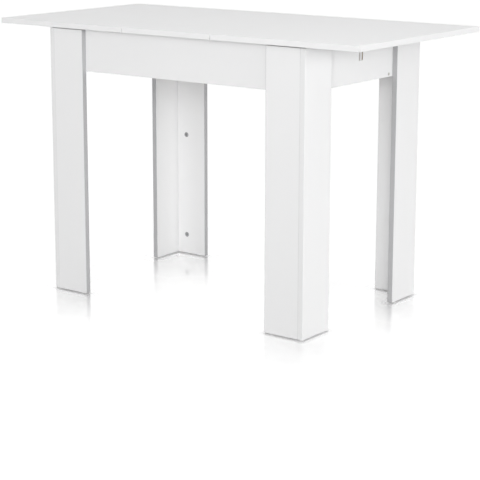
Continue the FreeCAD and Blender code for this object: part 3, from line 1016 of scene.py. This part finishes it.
def set_sky():
    """White world behind the table, with a lower light on it."""
    stage = bpy.context.scene.table_stage
    world = bpy.data.worlds.new("white_room")
    bpy.context.scene.world = world
    shader = Shader(world)
    light, shown = (shader.node("ShaderNodeBackground", None,
                                {"Color": WHITE, "Strength": strength})["Background"]
                    for strength in (stage.sky_light, 1.0))
    both = shader.mix_shaders(seen_by_eye(shader), light, shown)
    shader.node("ShaderNodeOutputWorld", None, {"Surface": both})


def add_lamp(name, kind, place, settings):
    """Lamp at a place, turned to the table, that shows in no gloss."""
    lamp = bpy.data.lights.new(name, kind)
    for key, value in settings.items():
        setattr(lamp, key, value)
    thing = linked(name, lamp)
    thing.location = place
    thing.rotation_euler = (AIM - Vector(place)).to_track_quat("-Z", "Y").to_euler()
    thing.visible_glossy = False


def set_lamps():
    """Wide soft lights from three sides, and a light panel in front and one above."""
    stage = bpy.context.scene.table_stage
    distance = 5
    # turn, height and width are in degrees
    for name, power, turn, height, width in (("front_light", stage.front_light, 30, 4, 30),
                                             ("side_light", stage.side_light, 90, 4, 30),
                                             ("back_light", stage.back_light, 225, 20, 60)):
        turn, height, width = (math.radians(angle) for angle in (turn, height, width))
        away = Vector((math.sin(turn), -math.cos(turn), math.tan(height)))
        add_lamp(name, "SUN", AIM + distance * away, {"energy": power, "angle": width})
    for name, power, place in (("front_panel", stage.front_panel, (1.3, -2.25, 1.6)),
                               ("top_panel", stage.top_panel, (1.0, -0.8, 2.2))):
        add_lamp(name, "AREA", place, {"energy": power, "shape": "RECTANGLE",
                                       "size": 1.6, "size_y": 1.2})


def set_camera():
    """Camera in front, to the right and a little above the table."""
    stage = bpy.context.scene.table_stage
    lens = bpy.data.cameras.new("camera")
    lens.sensor_width = SENSOR
    lens.lens = stage.lens
    lens.shift_x, lens.shift_y = stage.shift
    lens.clip_end = FARTHEST
    camera = linked("camera", lens)
    camera.location = stage.place
    camera.rotation_euler = (math.radians(90) - stage.tilt, 0, stage.turn)
    bpy.context.scene.camera = camera
    bpy.context.scene.view_settings.view_transform = "Standard"


# ---- operators ----
class TABLE_OT_boards(bpy.types.Operator):
    """Give the top, legs, aprons, beam and battens their white melamine"""

    bl_idname = "table.boards"
    bl_label = "Boards"

    def execute(self, context):
        dress(TOPS, finish("top"))
        dress(BOARDS_THIN_X, finish("thin_x"))
        dress(BOARDS_THIN_Y, finish("thin_y"))
        dress(("batten_front", "batten_back"), finish("thin_z"))
        return {"FINISHED"}


class TABLE_OT_bands(bpy.types.Operator):
    """Give the leg boards' free edges their grey band"""

    bl_idname = "table.bands"
    bl_label = "Edge bands"

    def execute(self, context):
        dress(("leg_edge_bands",), finish("band"))
        return {"FINISHED"}


class TABLE_OT_slides(bpy.types.Operator):
    """Give the guides and runners their beech, and the beam its pads"""

    bl_idname = "table.slides"
    bl_label = "Slides"

    def execute(self, context):
        dress(("guide_front", "guide_back", *RUNNERS), finish("beech_x"))
        dress(("beam_pads",), finish("pad"))
        return {"FINISHED"}


class TABLE_OT_cams(bpy.types.Operator):
    """Make the cams of the legs and aprons"""

    bl_idname = "table.cams"
    bl_label = "Cams"

    def execute(self, context):
        make_cams("leg_cams", "leg_cam_bolts")
        make_cams("apron_cams", "apron_cam_bolts")
        return {"FINISHED"}


class TABLE_OT_cam_bolts(bpy.types.Operator):
    """Make the bolts that the cams pull"""

    bl_idname = "table.cam_bolts"
    bl_label = "Cam bolts"

    def execute(self, context):
        make_cam_bolts("leg_cam_bolts", "leg_cams")
        make_cam_bolts("apron_cam_bolts", "apron_cams")
        return {"FINISHED"}


class TABLE_OT_dowels(bpy.types.Operator):
    """Make the fluted dowels"""

    bl_idname = "table.dowels"
    bl_label = "Dowels"

    def execute(self, context):
        for node in ("leg_dowels", "apron_dowels", "beam_dowel"):
            make_dowels(node)
        return {"FINISHED"}


class TABLE_OT_screws(bpy.types.Operator):
    """Make the countersunk screws"""

    bl_idname = "table.screws"
    bl_label = "Screws"

    def execute(self, context):
        for node in SCREW_GROUPS:
            make_screws(node)
        return {"FINISHED"}


class TABLE_OT_glides(bpy.types.Operator):
    """Make the nail-on glides under the legs"""

    bl_idname = "table.glides"
    bl_label = "Glides"

    def execute(self, context):
        make_glides("leg_glides")
        return {"FINISHED"}


class TABLE_OT_stage(bpy.types.Operator):
    """Set the floor, lamps and camera"""

    bl_idname = "table.stage"
    bl_label = "Stage"

    def execute(self, context):
        set_floor()
        set_cards()
        set_sky()
        set_lamps()
        set_camera()
        return {"FINISHED"}


class TABLE_PT_sidebar(bpy.types.Panel):
    """Finishes, fittings and stage of the table"""

    bl_label = "Extending Table"
    bl_idname = "TABLE_PT_sidebar"
    bl_space_type = "VIEW_3D"
    bl_region_type = "UI"
    bl_category = "Table"

    def draw(self, context):
        layout = self.layout
        for operator in OPERATORS:
            layout.operator(operator.bl_idname)
        for group in (context.scene.table_finishes, context.scene.table_fittings,
                      context.scene.table_stage):
            box = layout.box()
            for name in group.__annotations__:
                box.prop(group, name)


OPERATORS = (TABLE_OT_boards, TABLE_OT_bands, TABLE_OT_slides, TABLE_OT_cams,
             TABLE_OT_cam_bolts, TABLE_OT_dowels, TABLE_OT_screws, TABLE_OT_glides,
             TABLE_OT_stage)
GROUPS = {"table_finishes": TableFinishes, "table_fittings": TableFittings,
          "table_stage": TableStage}


def register():
    """Registers the property groups, operators and panel."""
    for name, group in GROUPS.items():
        bpy.utils.register_class(group)
        setattr(bpy.types.Scene, name, PointerProperty(type=group))
    for item in (*OPERATORS, TABLE_PT_sidebar):
        bpy.utils.register_class(item)


def unregister():
    """Takes them out again."""
    for item in (TABLE_PT_sidebar, *OPERATORS[::-1]):
        bpy.utils.unregister_class(item)
    for name, group in GROUPS.items():
        delattr(bpy.types.Scene, name)
        bpy.utils.unregister_class(group)


def main():
    """Dresses the whole table."""
    register()
    for operator in OPERATORS:
        section, name = operator.bl_idname.split(".")
        getattr(getattr(bpy.ops, section), name)()


if __name__ == "__main__":
    main()
